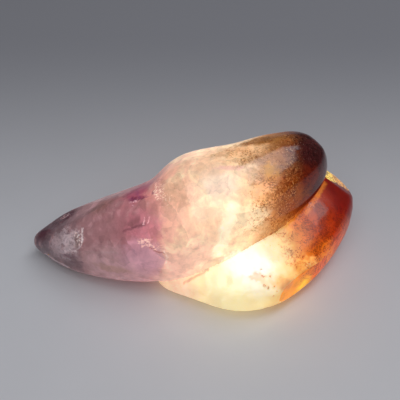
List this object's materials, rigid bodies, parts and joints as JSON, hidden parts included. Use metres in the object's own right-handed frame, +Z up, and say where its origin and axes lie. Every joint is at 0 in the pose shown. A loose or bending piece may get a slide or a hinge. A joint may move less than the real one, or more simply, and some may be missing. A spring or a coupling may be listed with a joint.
{
  "type": "polished auralite crystal",
  "caption": "Hand-sized polished auralite piece: a tapered quartz crystal lying across a shorter, fatter one it grew into, amethyst at the point and amber at the blunt end.",
  "frame": {"origin": "under the middle of the piece, on the flat face it rests on", "axes": "+Z up, +X along the long crystal from its point to its blunt end, +Y away from the side it is looked at from"},
  "size_m": [0.0918, 0.0452, 0.039],
  "materials": {
    "auralite": "polished, see-through to milky quartz, mauve at the point, peach in the middle, amber and red-brown at the blunt end"
  },
  "bodies": {
    "root": {"crystal": "auralite"}
  },
  "joints": []
}
